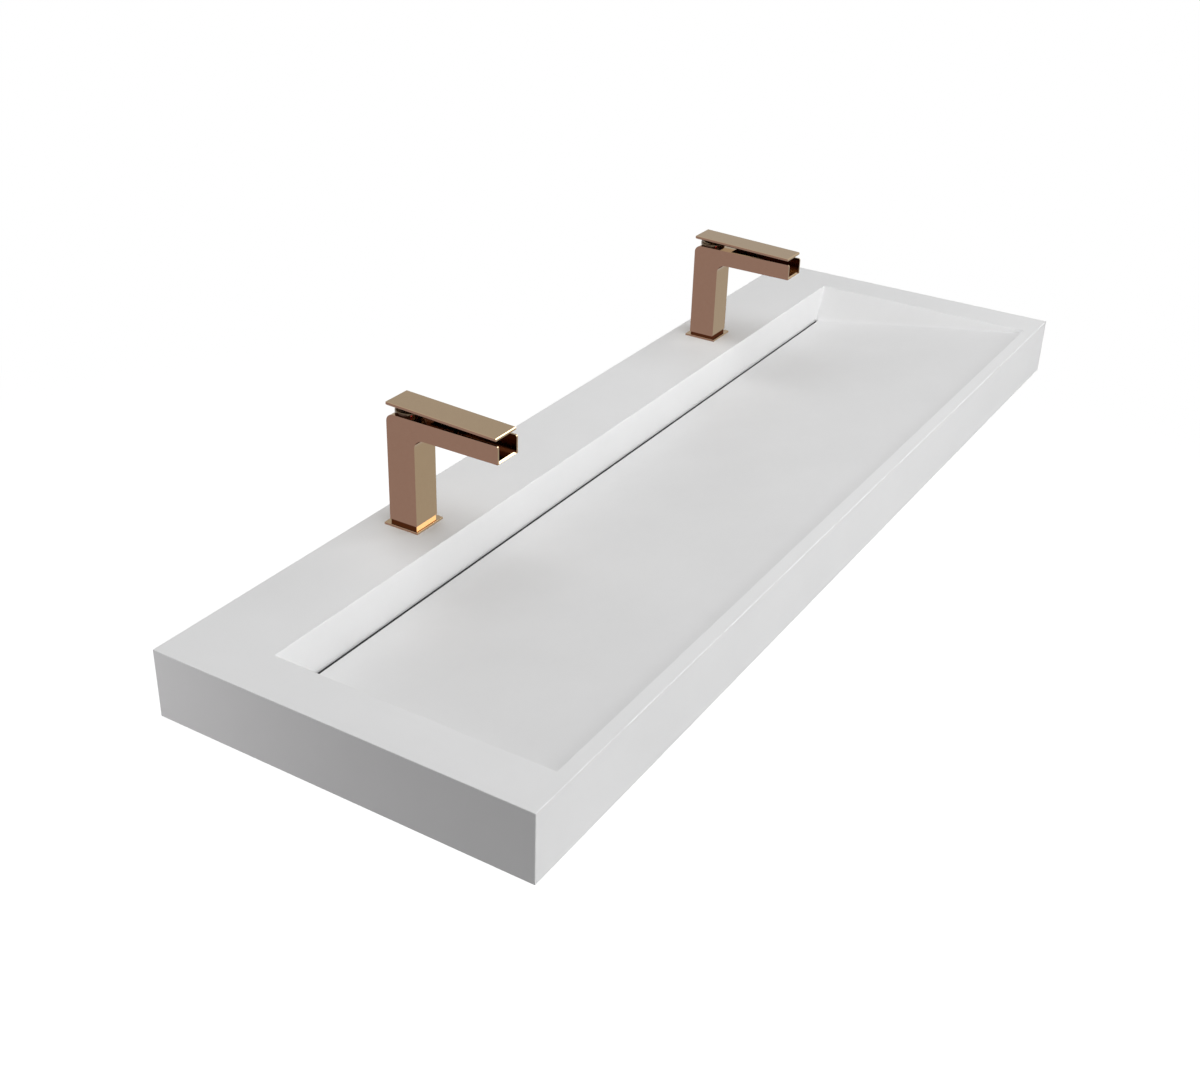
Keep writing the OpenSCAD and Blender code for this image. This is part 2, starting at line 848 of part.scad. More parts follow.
// Round plate with a notch at its front that leaves the hoses room
module horseshoe(h) {
    notch_w = 2 * (inlet_x + inlet_r + hose_room);
    notch_back = inlet_y + inlet_r + hose_room;
    difference() {
        cylinder(h = h, r = horseshoe_r);
        translate([-notch_w / 2, notch_back - 2 * horseshoe_r, -cut])
            cube([notch_w, 2 * horseshoe_r, h + 2 * cut]);
        translate([0, stud_y, -cut]) cylinder(h = h + 2 * cut, r = stud_r + running_gap);
    }
}

module rubber_washer() {
    color("dimgray") translate([0, 0, -wall_t - rubber_t]) horseshoe(rubber_t);
}

module horseshoe_washer() {
    color("silver") translate([0, 0, -wall_t - rubber_t - horseshoe_t]) horseshoe(horseshoe_t);
}

module fixing_nut() {
    top = -wall_t - rubber_t - horseshoe_t;
    color("goldenrod") translate([0, stud_y, top - fixing_nut_h]) difference() {
        cylinder(h = fixing_nut_h, r = fixing_nut_r, $fn = 6);
        translate([0, 0, -cut]) cylinder(h = fixing_nut_h + 2 * cut, r = stud_r + thread_gap);
    }
}

tap_deck();
end_rim(LEFT);  // left_rim
end_rim(RIGHT);  // right_rim
back_skirt();
front_skirt();
end_skirt(LEFT);  // left_skirt
end_skirt(RIGHT);  // right_skirt
bowl_back();
bowl_ramp();
bowl_end(LEFT);  // left_bowl_end
bowl_end(RIGHT);  // right_bowl_end
support_ribs();
drain_channel();
wall_rail();
rail_screws();
waste_body();
waste_seal();
waste_washer();
waste_nut();
at_tap(LEFT) tap_body();  // left_tap_body
at_tap(LEFT) base_plate();  // left_base_plate
at_tap(LEFT) base_gasket();  // left_base_gasket
at_tap(LEFT) dome_collar();  // left_dome_collar
at_tap(LEFT) cartridge_seal();  // left_cartridge_seal
at_tap(LEFT) cartridge_housing();  // left_cartridge_housing
at_tap(LEFT) fixed_disc();  // left_fixed_disc
at_tap(LEFT) lock_ring();  // left_lock_ring
at_tap(LEFT) moving_disc();  // left_moving_disc
at_tap(LEFT) disc_carrier();  // left_disc_carrier
at_tap(LEFT) turret();  // left_turret
at_tap(LEFT) pivot_pin();  // left_pivot_pin
at_tap(LEFT) spindle();  // left_spindle
at_tap(LEFT) lever();  // left_lever
at_tap(LEFT) grub_screw();  // left_grub_screw
at_tap(LEFT) fixing_stud();  // left_fixing_stud
at_tap(LEFT) rubber_washer();  // left_rubber_washer
at_tap(LEFT) horseshoe_washer();  // left_horseshoe_washer
at_tap(LEFT) fixing_nut();  // left_fixing_nut
at_tap(RIGHT) tap_body();  // right_tap_body
at_tap(RIGHT) base_plate();  // right_base_plate
at_tap(RIGHT) base_gasket();  // right_base_gasket
at_tap(RIGHT) dome_collar();  // right_dome_collar
at_tap(RIGHT) cartridge_seal();  // right_cartridge_seal
at_tap(RIGHT) cartridge_housing();  // right_cartridge_housing
at_tap(RIGHT) fixed_disc();  // right_fixed_disc
at_tap(RIGHT) lock_ring();  // right_lock_ring
at_tap(RIGHT) moving_disc();  // right_moving_disc
at_tap(RIGHT) disc_carrier();  // right_disc_carrier
at_tap(RIGHT) turret();  // right_turret
at_tap(RIGHT) pivot_pin();  // right_pivot_pin
at_tap(RIGHT) spindle();  // right_spindle
at_tap(RIGHT) lever();  // right_lever
at_tap(RIGHT) grub_screw();  // right_grub_screw
at_tap(RIGHT) fixing_stud();  // right_fixing_stud
at_tap(RIGHT) rubber_washer();  // right_rubber_washer
at_tap(RIGHT) horseshoe_washer();  // right_horseshoe_washer
at_tap(RIGHT) fixing_nut();  // right_fixing_nut
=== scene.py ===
"""Wall-hung trough basin with two single-lever mixers: its looks, round the frame."""

import json
from math import cos, pi, radians, sin

import bmesh
import bpy
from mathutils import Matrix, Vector


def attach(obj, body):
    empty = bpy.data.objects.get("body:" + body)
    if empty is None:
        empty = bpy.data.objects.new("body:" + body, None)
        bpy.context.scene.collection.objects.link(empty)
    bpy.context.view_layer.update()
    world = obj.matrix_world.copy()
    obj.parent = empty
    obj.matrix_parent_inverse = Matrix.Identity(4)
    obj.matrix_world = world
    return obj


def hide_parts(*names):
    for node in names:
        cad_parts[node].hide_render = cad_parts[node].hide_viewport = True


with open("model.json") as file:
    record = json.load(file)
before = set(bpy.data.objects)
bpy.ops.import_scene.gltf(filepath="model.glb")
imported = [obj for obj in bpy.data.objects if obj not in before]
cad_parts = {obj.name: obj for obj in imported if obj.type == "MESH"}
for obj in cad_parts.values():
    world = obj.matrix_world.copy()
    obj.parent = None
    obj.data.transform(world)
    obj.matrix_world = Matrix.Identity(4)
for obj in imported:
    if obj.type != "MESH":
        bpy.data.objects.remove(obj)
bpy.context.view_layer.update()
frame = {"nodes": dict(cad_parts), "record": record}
NODES = frame["nodes"]
SCENE = bpy.context.scene

# Sizes of the basin, in millimetres, with depths and distances from the wall positive
DECK_Z = 45.0  # height of the deck's top above the row frame's origin
HALF_L, DEPTH, HEIGHT = 750.0, 480.0, 85.0
WALL_T = 12.0  # thickness of the sheets
RIM_X, RIM_BACK, RIM_FRONT = 687.5, 112.0, 462.0  # edges of the bowl's mouth
BOWL_DEPTH, FRONT_STEP = 50.0, 4.0  # at the slot, and at the front rim
BACK_LEAN, END_LEAN, FRONT_LEAN = 5.0, 35.0, 0.8
SLOT_W = 5.0
SLOT_BACK = RIM_BACK + BACK_LEAN
SLOT_FRONT = SLOT_BACK + SLOT_W
SLOT_X = RIM_X - END_LEAN
SHELL_BACK = RIM_BACK - WALL_T
FLOOR_UNDER = BOWL_DEPTH + WALL_T
LAND_FRONT = 166.0  # front of the flat underside that carries the channel
TAP_X, TAP_Y, TAP_HOLE_R = 375.0, -52.5, 17.5
BOLT_X, BOLT_R, BOLT_SIDES = (-600.0, -200.0, 200.0, 600.0), 6.0, 32

# The cage that is rounded into the basin's skin, in millimetres: where its lines lie
EDGE_R = 1.6  # rounding of the basin's outer edges
EDGE_BAND = 8.0
MOUTH_BAND = 7.0
END_HOLD, BACK_HOLD = 2.0, 1.2
END_SHARES = (0.0, 0.07, 0.28, 0.76, 1.0)
BACK_SHARES = (0.0, 0.03, 0.3, 0.9)
FRONT_SHARES = (1.0, 0.85, 0.12, 0.0)
FRONT_HOLDS = (0.5, 6.0)
MIDDLE_COLUMNS = (-630.0, -450.0, -225.0, 0.0)
DECK_LINE = 60.0
PIT_LINES = (  # distance from the wall, depth under the bowl's floor
    (SLOT_BACK + 0.5, 5.0),
    (SLOT_BACK + 1.5, 6.5),
    (SLOT_FRONT - 2.7, 6.5),
)
FLOOR_LINES = (
    SLOT_FRONT - 2.2,
    SLOT_FRONT + 1.5,
    135.0,
    200.0,
    290.0,
    380.0,
    446.0,
    460.4,
)
FOOT_IN, FOOT_SPREAD = 1.5, 8.0  # how far the end's foot lies in, and more with depth
BACK_DECK = 200.0  # a line of the deck nearer to the wall than this is behind the bowl
ROUND_LEVELS = 3

# The cutters, in millimetres from the deck's top
UNDER_CUT = 2.0
BOWL_CUT_TOP = 6.0
SLOT_CUT_TOP, SLOT_CUT_FOOT = -44.0, -70.0
HOLE_CUT_LOW, HOLE_CUT_HIGH = -20.0, 5.0
DISC_SIDES = 64
SLIVER_SIDES = 4
SKIN_SHARP = 30  # edges sharper than this, in degrees, stay sharp
SLOT_FACE_DEEP = 3.0  # a cut face of the slot that reaches this far under the bowl's floor gets the painted slot shade
NEAR = 0.00002  # metres

# Edges of the carried-over nodes: the rounding in millimetres, the angles in degrees
CRISP = {
    "tap_body": 0.35,
    "base_plate": 0.3,
    "lever": 0.35,
    "dome_collar": 0.2,
}
CRISP_SEGMENTS, CRISP_ANGLE, CRISP_FLAT, CRISP_WELD = 2, 32, 0.5, 1e-6
NORMAL_WEIGHT = 100

# The index dots, in millimetres and degrees; the profile is share of radius, height
COLUMN_H, COLLAR_R = 146.0, 18.0
DOT_H, DOT_R, DOT_RISE, DOT_SIDES = 1.7, 1.1, 0.35, 24
DOT_PROFILE = [(1.0, -0.4), (1.0, 0.05), (0.85, 0.2), (0.6, 0.29), (0.3, 0.34)]
HOT_ANGLE, COLD_ANGLE = 222, 318

# The slot's cut faces, in millimetres: bare sheet above the painted shade, and the painted
# shade's soft edge
SLOT_SHADE_BELOW, SLOT_SHADE_SOFT = 2.0, 0.3
SHEET_STOPS = [(0.3, (0.774, 0.775, 0.777)), (0.7, (0.804, 0.805, 0.807))]

# The stage, in metres and watts
WHITE = (1.0, 1.0, 1.0)
DEEP_BOUNCE = 1.5  # glossy depths above this are reflections of reflections
DEEP_TINT = (0.25, 0.125, 0.1)
FLOOR_Z, FLOOR_HALF = -0.9, 9.0
FLOOR_SEEN, FLOOR_LIFT, FLOOR_PALE = 0.3, 0.92, 0.25
FADE_START, FADE_END = 1.3, 2.8
SHEET_CUTS = 7
# Broad lobes of the studio's dome: direction, narrowness, strength
LOBES = [
    ((-1.0, 0.0, 0.0), 1.0, 0.272),
    ((0.0, -1.0, 0.0), 1.0, 0.42),
    ((0.0, 1.0, 0.0), 1.0, 0.223),
]
DOME_BASE = 0.007
# Cards that only mirrors see: name, centre, direction faced, width, height, colour
CARD_GREY, CARD_BROWN = (0.66, 0.66, 0.66), (0.52, 0.414, 0.477)
CARDS = [
    ("left_card", (-1.15, 0.6, -0.42), (1, 0, 0), 1.7, 1.1, CARD_BROWN),
    ("top_card", (1.98, 1.05, 1.15), (-0.79, -0.46, -0.38), 3.2, 2.2, CARD_GREY),
    ("under_card", (0.5, 0.0, -0.4), (0.05, 0.0, 1), 2.2, 1.4, CARD_GREY),
    ("front_card", (1.25, -0.9, -0.45), (-0.79, 0.48, 0.36), 2.6, 1.2, CARD_GREY),
]
# Soft lamps: name, place, point aimed at, size, power, and whether mirrors see them
LAMPS = [
    ("front", (1.16, -1.21, 1.16), (-0.2, -0.1, 0.05), (0.6, 0.6), 5.4, True),
    ("low", (0.0, -2.5, 0.4), (0, -0.2, 0.0), (2.5, 1.0), 24.6, False),
    ("graze", (-0.5, -2.3, 0.95), (0, -0.3, 0.0), (2.5, 0.4), 6.2, False),
    ("top", (-0.3, -0.2, 2.6), (0, -0.24, 0.0), (2.6, 2.0), 37.4, False),
    ("rear", (0.3, 1.6, 2.0), (0, -0.1, 0.05), (1.6, 1.6), 5.8, False),
    ("left", (-1.2, 0.25, 0.0), (-0.75, -0.05, 0.0), (0.3, 0.3), 1.0, False),
]

# The camera: sensor and lens in millimetres, place and clipping in metres, turn in degrees
SENSOR_W, LENS = 36.0, 46.3466
CLIP_START, CLIP_END = 0.05, 60.0
CAMERA_PLACE = (-1.66680, -1.08269, 0.94476)
CAMERA_TURN = (60.9668, -1.6548, -58.3499)


def row(x, y, z):
    """A point in millimetres from the deck's top, as metres in the row frame."""
    return Vector((x, y, z + DECK_Z)) / 1000


class Nodes:
    """A short way to write a material's nodes."""

    def __init__(self, name):
        self.material = bpy.data.materials.new(name)
        self.material.use_nodes = True
        self.tree = self.material.node_tree
        self.shader = self.tree.nodes["Principled BSDF"]
        self.object = self.add("ShaderNodeTexCoord").outputs["Object"]

    def add(self, kind, inputs=None, **settings):
        node = self.tree.nodes.new(kind)
        for key, value in settings.items():
            setattr(node, key, value)
        for key, value in (inputs or {}).items():
            self.feed(node.inputs[key], value)
        return node

    def feed(self, socket, value):
        if isinstance(value, bpy.types.NodeSocket):
            self.tree.links.new(value, socket)
        else:
            socket.default_value = value

    def noise(self, scale, detail=4.0, roughness=0.5, stretch=None):
        """Noise over the object, in waves per metre."""
        place = self.object
        if stretch:
            mapped = self.add("ShaderNodeMapping", {"Vector": place})
            mapped.inputs["Scale"].default_value = stretch
            place = mapped.outputs["Vector"]
        node = self.add(
            "ShaderNodeTexNoise",
            {"Vector": place, "Scale": scale, "Detail": detail, "Roughness": roughness},
        )
        return node.outputs["Fac"]

    def spread(self, value, low, high, from_low=0.0, from_high=1.0):
        """A value carried from one range to another, and held inside it."""
        node = self.add(
            "ShaderNodeMapRange",
            {
                "Value": value,
                "From Min": from_low,
                "From Max": from_high,
                "To Min": low,
                "To Max": high,
            },
        )
        return node.outputs["Result"]

    def ramp(self, value, stops):
        """A colour by value, from stops of position and colour."""
        node = self.add("ShaderNodeValToRGB", {"Fac": value})
        ends = node.color_ramp.elements
        while len(ends) < len(stops):
            ends.new(0.5)
        for end, (place, colour) in zip(ends, stops):
            end.position = place
            end.color = (*colour, 1.0)
        return node.outputs["Color"]

    def bump(self, height, distance, strength):
        """A normal from a height, its distance in metres."""
        node = self.add(
            "ShaderNodeBump",
            {"Height": height, "Distance": distance, "Strength": strength},
        )
        return node.outputs["Normal"]

    def finish(self, **sockets):
        """Fills the shader's sockets, and gives the material."""
        for name, value in sockets.items():
            self.feed(self.shader.inputs[name.replace("_", " ")], value)
        return self.material


def solid_surface():
    """Matt cast mineral surface: faint clouding, very fine grain."""
    n = Nodes("solid_surface")
    clouds = n.noise(9.0, 3.0, 0.6)
    grain = n.noise(900.0, 2.0, 0.6)
    tone = n.add(
        "ShaderNodeMath",
        {0: n.spread(clouds, 0.0, 0.75), 1: n.spread(grain, 0.0, 0.25)},
        operation="ADD",
    ).outputs[0]
    return n.finish(
        Base_Color=n.ramp(tone, SHEET_STOPS),
        Roughness=n.spread(clouds, 0.44, 0.52),
        Normal=n.bump(grain, 0.00004, 0.35),
        IOR=1.46,
    )


def rib_sheet():
    """The same mineral surface, sanded and left unfinished."""
    n = Nodes("rib_sheet")
    sanded = n.noise(60.0, 6.0, 0.65, stretch=(1.0, 6.0, 1.0))
    colour = n.ramp(sanded, [(0.3, (0.60, 0.60, 0.585)), (0.7, (0.68, 0.68, 0.665))])
    return n.finish(
        Base_Color=colour,
        Roughness=n.spread(sanded, 0.6, 0.8),
        Normal=n.bump(sanded, 0.0003, 0.4),
        IOR=1.46,
    )


def slot_painted_shade():
    """The slot's cut faces: bare sheet at the lip, painted shade below it, a near-black
    colour where there is only the slot's shadow.
    """
    n = Nodes("slot_painted_shade")
    shade_mottle = n.noise(300.0, 4.0, 0.6)
    # Painted shade: the cut faces below the lip are coloured near black to stand in for the
    # slot's shadow
    dark = n.ramp(shade_mottle, [(0.3, (0.03, 0.03, 0.031)), (0.7, (0.055, 0.055, 0.057))])
    bare = n.ramp(shade_mottle, SHEET_STOPS)
    height = n.add("ShaderNodeSeparateXYZ", {"Vector": n.object}).outputs["Z"]
    top = row(0, 0, -BOWL_DEPTH - SLOT_SHADE_BELOW).z
    colour = n.add(
        "ShaderNodeMixRGB",
        {
            "Fac": n.spread(height, 0.0, 1.0, top - SLOT_SHADE_SOFT / 1000, top),
            "Color1": dark,
            "Color2": bare,
        },
    ).outputs["Color"]
    return n.finish(
        Base_Color=colour,
        Roughness=n.spread(shade_mottle, 0.55, 0.7),
        Normal=n.bump(shade_mottle, 0.00005, 0.4),
        IOR=1.45,
    )


def rose_gold():
    """Polished rose-gold plate: slow waviness under the gloss, faint polishing haze."""
    n = Nodes("rose_gold")
    wave = n.noise(28.0, 2.0, 0.4)
    haze = n.noise(160.0, 5.0, 0.6)
    colour = n.ramp(haze, [(0.25, (0.49, 0.353, 0.217)), (0.75, (0.51, 0.372, 0.23))])
    return n.finish(
        Base_Color=colour,
        Metallic=1.0,
        Roughness=n.spread(haze, 0.05, 0.1),
        Normal=n.bump(wave, 0.0012, 0.06),
    )


def collar_painted_shade():
    """Turned bronze of the dome collar, darkened as painted shade for the dark reflections
    in the gap under the lever, with faint rings of the tool.
    """
    n = Nodes("collar_painted_shade")
    haze = n.noise(220.0, 4.0, 0.6)
    rings = n.noise(900.0, 2.0, 0.5, stretch=(0.05, 0.05, 1.0))
    # Painted shade: a near-black bronze colour stands in for the dark reflections in the
    # gap under the lever
    colour = n.ramp(haze, [(0.3, (0.105, 0.078, 0.05)), (0.7, (0.13, 0.096, 0.062))])
    return n.finish(
        Base_Color=colour,
        Metallic=1.0,
        Roughness=n.spread(haze, 0.1, 0.18),
        Normal=n.bump(rings, 0.00002, 0.3),
    )


def enamel(name, low, high):
    """Glossy enamel of an index dot, a little uneven in colour."""
    n = Nodes(name)
    cloud = n.noise(1500.0, 3.0, 0.6)
    return n.finish(
        Base_Color=n.ramp(cloud, [(0.3, low), (0.7, high)]),
        Roughness=n.spread(cloud, 0.1, 0.2),
        Normal=n.bump(cloud, 0.00002, 0.3),
        IOR=1.5,
    )


def plain_brass():
    """Turned, unplated brass with fine tool marks and a dull tarnish."""
    n = Nodes("plain_brass")
    marks = n.noise(500.0, 3.0, 0.6, stretch=(0.3, 0.3, 4.0))
    tarnish = n.noise(70.0, 4.0, 0.6)
    colour = n.ramp(tarnish, [(0.3, (0.62, 0.45, 0.19)), (0.7, (0.74, 0.57, 0.27))])
    return n.finish(
        Base_Color=colour,
        Metallic=1.0,
        Roughness=n.spread(marks, 0.25, 0.42),
        Normal=n.bump(marks, 0.0001, 0.4),
    )


def zinc_steel():
    """Bright zinc-plated steel with a faint crystalline mottle."""
    n = Nodes("zinc_steel")
    cells = n.add("ShaderNodeTexVoronoi", {"Vector": n.object, "Scale": 130.0})
    mottle = n.spread(cells.outputs["Distance"], 0.0, 1.0, 0.0, 0.8)
    colour = n.ramp(mottle, [(0.1, (0.50, 0.51, 0.53)), (0.9, (0.62, 0.63, 0.64))])
    return n.finish(
        Base_Color=colour,
        Metallic=1.0,
        Roughness=n.spread(mottle, 0.28, 0.42),
        Normal=n.bump(n.noise(700.0), 0.00006, 0.4),
    )


def black_rubber():
    """Black moulded rubber with a dusty bloom."""
    n = Nodes("black_rubber")
    bloom = n.noise(120.0, 5.0, 0.6)
    colour = n.ramp(bloom, [(0.3, (0.018, 0.018, 0.018)), (0.75, (0.04, 0.04, 0.04))])
    return n.finish(
        Base_Color=colour,
        Roughness=n.spread(bloom, 0.55, 0.75),
        Normal=n.bump(n.noise(900.0), 0.00008, 0.5),
    )


def cartridge_plastic():
    """Moulded engineering plastic, slightly translucent ivory."""
    n = Nodes("cartridge_plastic")
    flow = n.noise(80.0, 4.0, 0.5, stretch=(1.0, 1.0, 0.3))
    colour = n.ramp(flow, [(0.3, (0.74, 0.72, 0.66)), (0.7, (0.80, 0.78, 0.72))])
    return n.finish(
        Base_Color=colour,
        Roughness=n.spread(flow, 0.35, 0.5),
        Normal=n.bump(n.noise(600.0), 0.00006, 0.4),
    )


def disc_ceramic():
    """Lapped white ceramic."""
    n = Nodes("disc_ceramic")
    lap = n.noise(400.0, 3.0, 0.5)
    colour = n.ramp(lap, [(0.3, (0.82, 0.81, 0.79)), (0.7, (0.87, 0.86, 0.84))])
    return n.finish(
        Base_Color=colour,
        Roughness=n.spread(lap, 0.16, 0.24),
        Normal=n.bump(lap, 0.00003, 0.3),
    )


MATERIALS = {
    make.__name__: make()
    for make in (
        solid_surface,
        rib_sheet,
        rose_gold,
        collar_painted_shade,
        plain_brass,
        zinc_steel,
        black_rubber,
        cartridge_plastic,
        disc_ceramic,
    )
}


def dress(thing, material):
    """Gives a piece one material."""
    thing.data.materials.clear()
    thing.data.materials.append(material)
    for face in thing.data.polygons:
        face.material_index = 0


def local_depth(y):
    """Depth of the bowl's floor at a distance from the wall."""
    share = (y - SLOT_FRONT) / (RIM_FRONT - SLOT_FRONT)
    return BOWL_DEPTH + (FRONT_STEP - BOWL_DEPTH) * min(1.0, share)


def bowl_point(column, line):
    """The top surface at one crossing of the cage.

    A column or line is its kind, its place, and a share of the way down the wall that it
    lies on. For the kind pit, that last number is a depth.
    """
    kind_x, x, fx = column
    kind_y, y, fy = line
    sign = -1 if x < 0 else 1
    if kind_y == "front":
        deep, y_at = FRONT_STEP, RIM_FRONT - FRONT_LEAN * fy
    elif kind_y == "pit":
        deep, y_at, fy = fy, y, 1.0
    elif kind_y == "back":
        deep, y_at = BOWL_DEPTH, RIM_BACK + BACK_LEAN * fy
    elif kind_y == "floor":
        deep, y_at, fy = local_depth(y), y, 1.0
    else:
        deep, y_at, fy = BOWL_DEPTH if y < BACK_DECK else FRONT_STEP, y, 0.0
    x_at = x
    if kind_x == "end":
        x_at = sign * (RIM_X - END_LEAN / BOWL_DEPTH * deep * fx)
    elif kind_x == "foot":
        foot = RIM_X - END_LEAN / BOWL_DEPTH * deep
        x_at = sign * (foot - FOOT_IN - FOOT_SPREAD * deep / BOWL_DEPTH)
        fx = 1.0
    elif kind_x == "middle":
        fx = 1.0
    else:
        fx = 0.0
    return (x_at, -y_at, -deep * min(fx, fy))


def cage_grid():
    """Columns and lines of the cage over the basin's top."""
    half = [
        ("deck", -HALF_L, 0),
        ("deck", -HALF_L + EDGE_R, 0),
        ("deck", -HALF_L + EDGE_BAND, 0),
        ("deck", -RIM_X - MOUTH_BAND, 0),
        ("deck", -RIM_X - END_HOLD, 0),
        *(("end", -1, share) for share in END_SHARES),
        ("foot", -1, 1.0),
        *(("middle", x, 1.0) for x in MIDDLE_COLUMNS),
    ]
    columns = half + [(k, -x, f) for k, x, f in reversed(half[:-1])]
    lines = [
        ("deck", 0.0, 0),
        ("deck", EDGE_R, 0),
        ("deck", EDGE_BAND, 0),
        ("deck", DECK_LINE, 0),
        ("deck", RIM_BACK - MOUTH_BAND, 0),
        ("deck", RIM_BACK - BACK_HOLD, 0),
        *(("back", 0, share) for share in BACK_SHARES),
        *(("pit", y, BOWL_DEPTH + under) for y, under in PIT_LINES),
        *(("floor", y, 0) for y in FLOOR_LINES),
        *(("front", 0, share) for share in FRONT_SHARES),
        *(("deck", RIM_FRONT + hold, 0) for hold in FRONT_HOLDS),
        ("deck", DEPTH - EDGE_R, 0),
        ("deck", DEPTH, 0),
    ]
    return columns, lines


def cage_block():
    """Closed cage of the basin's outer faces and bowl, solid underneath."""
    columns, lines = cage_grid()
    nx, ny = len(columns), len(lines)
    mesh = bmesh.new()
    top = [[mesh.verts.new(bowl_point(c, l)) for l in lines] for c in columns]

    def plan(i, j):
        x, y, _ = top[i][j].co
        return x, y

    levels = [-EDGE_R, -EDGE_BAND, -HEIGHT + EDGE_BAND, -HEIGHT + EDGE_R]
    foot = [
        [mesh.verts.new((*plan(i, j), -HEIGHT)) for j in range(ny)] for i in range(nx)
    ]
    ring = (
        [(i, 0) for i in range(nx)]
        + [(nx - 1, j) for j in range(1, ny)]
        + [(i, ny - 1) for i in range(nx - 2, -1, -1)]
        + [(0, j) for j in range(ny - 2, 0, -1)]
    )
    rows = [[top[i][j] for i, j in ring]]
    for z in levels:
        rows.append([mesh.verts.new((*plan(i, j), z)) for i, j in ring])
    rows.append([foot[i][j] for i, j in ring])
    for i in range(nx - 1):
        for j in range(ny - 1):
            mesh.faces.new(
                (top[i][j], top[i][j + 1], top[i + 1][j + 1], top[i + 1][j])
            )
            mesh.faces.new(
                (foot[i][j], foot[i + 1][j], foot[i + 1][j + 1], foot[i][j + 1])
            )
    n = len(ring)
    for a, b in zip(rows[:-1], rows[1:]):
        for k in range(n):
            m = (k + 1) % n
            mesh.faces.new((a[k], a[m], b[m], b[k]))
    bmesh.ops.recalc_face_normals(mesh, faces=mesh.faces[:])
    return mesh


def new_object(name, mesh):
    """An object from a bmesh in millimetres from the deck's top."""
    data = bpy.data.meshes.new(name)
    for vert in mesh.verts:
        vert.co = row(*vert.co)
    mesh.to_mesh(data)
    mesh.free()
    thing = bpy.data.objects.new(name, data)
    SCENE.collection.objects.link(thing)
    return thing


def prism(points, low, high, axis):
    """Closed prism of an outline along an axis.

    Axis 0 is X with (y, z) points, 1 is Y with (x, z) points, 2 is Z with (x, y) points.
    """
    mesh = bmesh.new()

    def place(p, q):
        if axis == 0:
            return (q, p[0], p[1])
        if axis == 1:
            return (p[0], q, p[1])
        return (p[0], p[1], q)

    ends = [[mesh.verts.new(place(p, q)) for p in points] for q in (low, high)]
    mesh.faces.new(ends[0])
    mesh.faces.new(ends[1])
    n = len(points)
    for k in range(n):
        m = (k + 1) % n
        mesh.faces.new((ends[0][k], ends[0][m], ends[1][m], ends[1][k]))
    bmesh.ops.recalc_face_normals(mesh, faces=mesh.faces[:])
    return mesh


def disc_points(x, y, r, count=DISC_SIDES):
    """Outline of a round hole."""
    return [
        (x + r * cos(2 * pi * k / count), y + r * sin(2 * pi * k / count))
        for k in range(count)
    ]


def bowl_under():
    """Solid that the bowl's own walls and floor fill under the deck."""
    mesh = bmesh.new()
    lean = END_LEAN / FLOOR_UNDER

    def half(depth):
        return RIM_X + WALL_T - lean * depth

    front = FRONT_STEP + WALL_T
    outline = [
        (SHELL_BACK, BOWL_CUT_TOP),
        (SHELL_BACK, FLOOR_UNDER),
        (LAND_FRONT, FLOOR_UNDER),
        (RIM_FRONT, front),
        (RIM_FRONT, BOWL_CUT_TOP),
    ]
    ends = [
        [mesh.verts.new((s * half(d), -y, -d)) for y, d in outline] for s in (-1, 1)
    ]
    mesh.faces.new(ends[0])
    mesh.faces.new(ends[1])
    for k in range(len(outline)):
        m = (k + 1) % len(outline)
        mesh.faces.new((ends[0][k], ends[0][m], ends[1][m], ends[1][k]))
    bmesh.ops.recalc_face_normals(mesh, faces=mesh.faces[:])
    return mesh


def baked(thing):
    """Replaces an object's mesh with what its modifiers make of it."""
    bpy.context.view_layer.update()
    graph = bpy.context.evaluated_depsgraph_get()
    data = bpy.data.meshes.new_from_object(thing.evaluated_get(graph))
    old = thing.data
    thing.modifiers.clear()
    thing.data = data
    bpy.data.meshes.remove(old)


def carve(thing, cutter):
    """Cuts one closed object out of another, and removes the cutter."""
    modifier = thing.modifiers.new("carve", "BOOLEAN")
    modifier.operation = "DIFFERENCE"
    modifier.solver = "EXACT"
    modifier.object = cutter
    baked(thing)
    bpy.data.objects.remove(cutter)


def smooth_by_angle(thing, degrees):
    """Shades a piece smooth, apart from edges sharper than an angle."""
    for face in thing.data.polygons:
        face.use_smooth = True
    thing.data.set_sharp_from_angle(angle=radians(degrees))
    weighted = thing.modifiers.new("weighted", "WEIGHTED_NORMAL")
    weighted.keep_sharp = True
    weighted.weight = NORMAL_WEIGHT


def close_slivers(thing):
    """Fills the hairline gaps of a few sides that the cuts leave."""
    mesh = bmesh.new()
    mesh.from_mesh(thing.data)
    rims = [edge for edge in mesh.edges if edge.is_boundary]
    bmesh.ops.holes_fill(mesh, edges=rims, sides=SLIVER_SIDES)
    mesh.to_mesh(thing.data)
    mesh.free()


def paint_slot_shade(data):
    """Gives the slot's cut faces the second material, the painted slot shade."""
    deep = row(0, 0, -BOWL_DEPTH - SLOT_FACE_DEEP).z
    back, front = -SLOT_BACK / 1000, -SLOT_FRONT / 1000
    for face in data.polygons:
        points = [data.vertices[i].co for i in face.vertices]
        if min(p.z for p in points) > deep:
            continue
        if any(not front - NEAR < p.y < back + NEAR for p in points):
            continue
        if any(abs(p.x) > SLOT_X / 1000 + NEAR for p in points):
            continue
        face.material_index = 1


